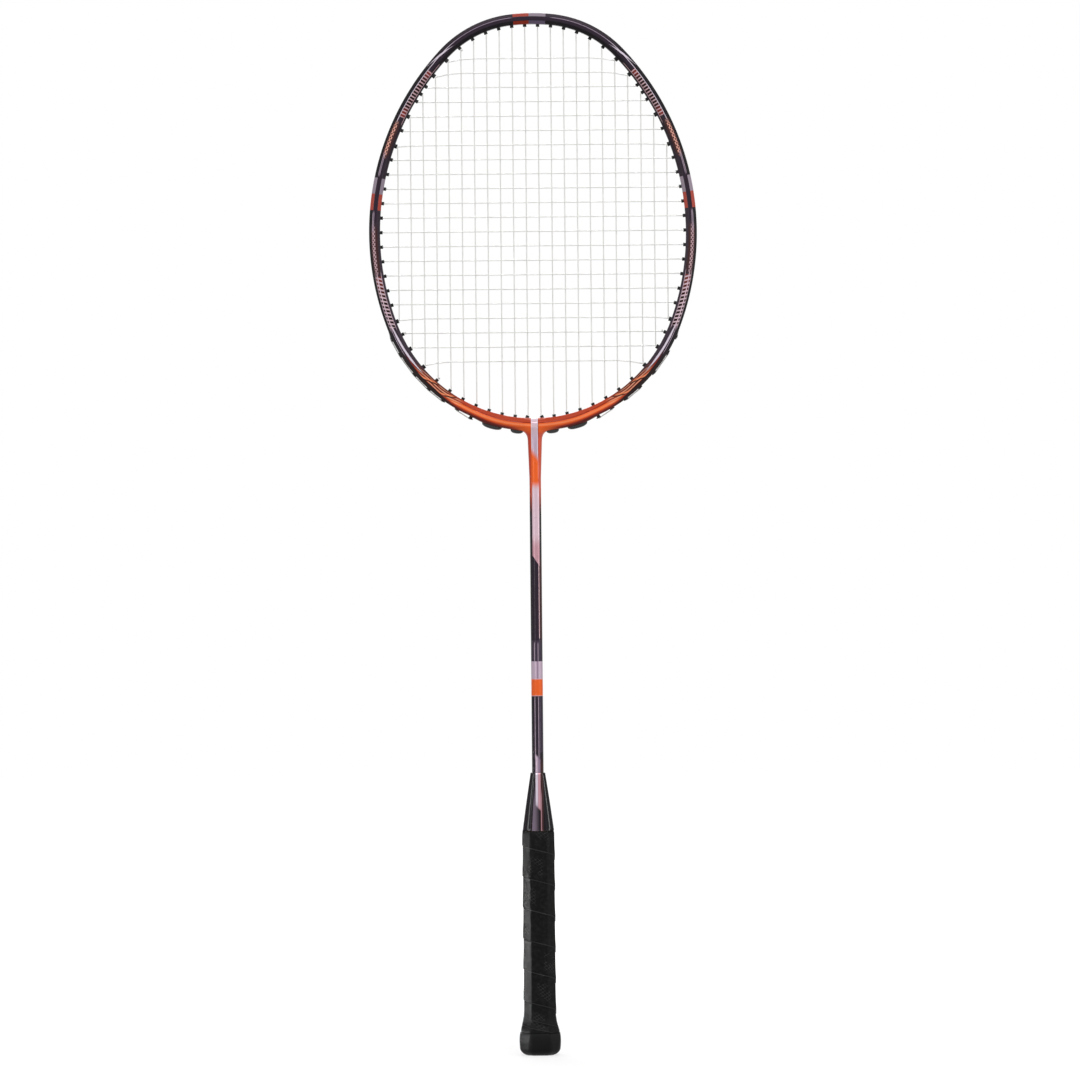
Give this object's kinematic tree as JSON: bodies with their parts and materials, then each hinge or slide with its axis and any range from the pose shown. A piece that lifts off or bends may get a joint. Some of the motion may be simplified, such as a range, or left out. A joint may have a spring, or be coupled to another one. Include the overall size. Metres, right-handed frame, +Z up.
{
  "type": "badminton racket",
  "caption": "Strung badminton racket: hollow oval hoop with grommets and a string bed, slim shaft, tapering cone cap and eight-sided wrapped grip with a flared butt.",
  "frame": {"origin": "centre of the butt cap's end face", "axes": "+Z up the shaft from the butt to the top of the hoop, +X to the viewer's right across the string bed, -Y towards the viewer"},
  "size_m": [0.2124, 0.0304, 0.675],
  "materials": {
    "hoop_paint": "gloss aubergine-black lacquer over carbon, fading to metallic orange",
    "throat_paint": "gloss metallic orange lacquer over carbon",
    "shaft_paint": "gloss aubergine-black lacquer with orange and silver bands over carbon",
    "resin": "moulded resin",
    "cone_plastic": "gloss moulded plastic",
    "timber": "sanded",
    "butt_plastic": "satin moulded",
    "grip_leather": "embossed soft polyurethane strip",
    "string": "white coated nylon",
    "grommet_plastic": "moulded nylon"
  },
  "bodies": {
    "root": {"head_hoop": "hoop_paint", "throat_wrap": "throat_paint", "t_joint": "resin", "shaft": "shaft_paint", "cone_cap": "cone_plastic", "handle_core": "timber", "butt_cap": "butt_plastic", "grip_wrap": "grip_leather", "main_string": "string", "cross_string": "string", "main_knots": "string", "cross_knots": "string", "grommets_top": "grommet_plastic", "grommets_bottom": "grommet_plastic", "grommets_left": "grommet_plastic", "grommets_right": "grommet_plastic", "shared_grommets_left": "grommet_plastic", "shared_grommets_right": "grommet_plastic", "bridge_left_outer": "grommet_plastic", "bridge_left_inner": "grommet_plastic", "bridge_right_inner": "grommet_plastic", "bridge_right_outer": "grommet_plastic"}
  },
  "joints": []
}
